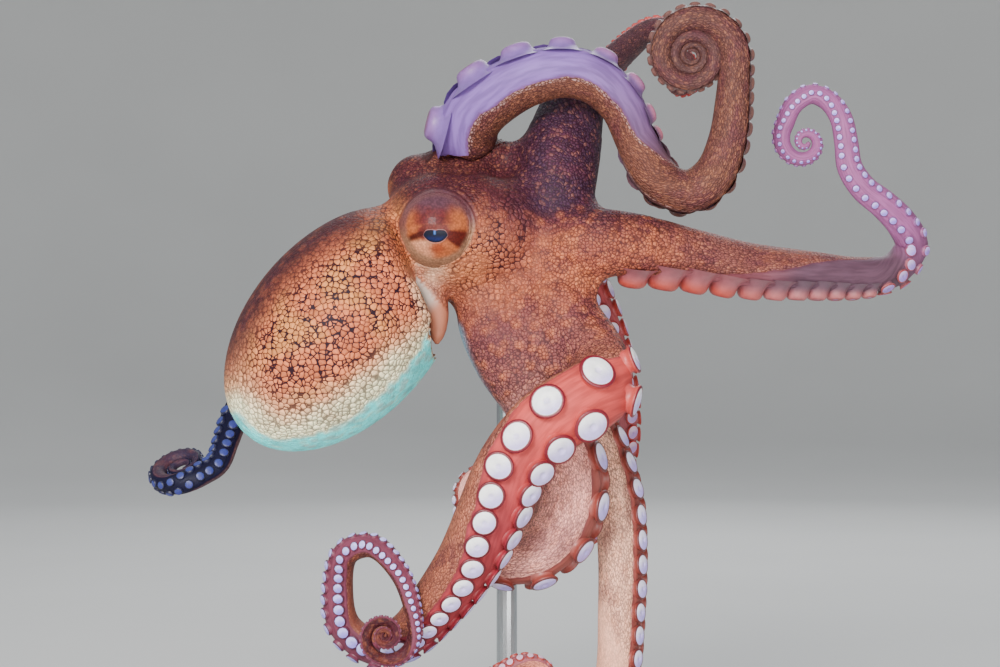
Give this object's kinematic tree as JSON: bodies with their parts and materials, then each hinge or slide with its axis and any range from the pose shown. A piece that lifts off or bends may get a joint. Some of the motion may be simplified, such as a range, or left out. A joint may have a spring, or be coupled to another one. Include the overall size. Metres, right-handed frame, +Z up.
{
  "type": "octopus",
  "caption": "Common octopus as a still display model, round mantle, arms spread and curled at the tips with two rows of suckers each, held on a flat base by one rod.",
  "frame": {"origin": "centre of the underside of the stand's base", "axes": "+Z up; the animal's right side looks along -Y and its mantle lies towards -X"},
  "size_m": [0.4471, 0.2924, 0.4871],
  "materials": {
    "mantle_skin": "moist skin, fine net of dark lines, satin",
    "head_skin": "moist skin, granular, satin",
    "arm_skin": "moist skin with pale suckers, satin",
    "funnel_skin": "smooth moist skin, satin",
    "eye": "wet, glossy",
    "stand_paint": "satin black paint",
    "stand_steel": "brushed"
  },
  "bodies": {
    "root": {"crown": "arm_skin", "head": "head_skin", "eye_right": "eye", "eye_left": "eye", "funnel": "funnel_skin", "mantle": "mantle_skin", "arm_l2_base": "arm_skin", "arm_l2_middle": "arm_skin", "arm_l2_tip": "arm_skin", "arm_l1_base": "arm_skin", "arm_l1_middle": "arm_skin", "arm_l1_tip": "arm_skin", "arm_r1_base": "arm_skin", "arm_r1_middle": "arm_skin", "arm_r1_tip": "arm_skin", "arm_r2_base": "arm_skin", "arm_r2_middle": "arm_skin", "arm_r2_tip": "arm_skin", "arm_r3_base": "arm_skin", "arm_r3_middle": "arm_skin", "arm_r3_tip": "arm_skin", "arm_r4_base": "arm_skin", "arm_r4_middle": "arm_skin", "arm_r4_tip": "arm_skin", "arm_l4_base": "arm_skin", "arm_l4_middle": "arm_skin", "arm_l4_tip": "arm_skin", "arm_l3_base": "arm_skin", "arm_l3_middle": "arm_skin", "arm_l3_tip": "arm_skin", "stand_base": "stand_paint", "stand_rod": "stand_steel"}
  },
  "joints": []
}
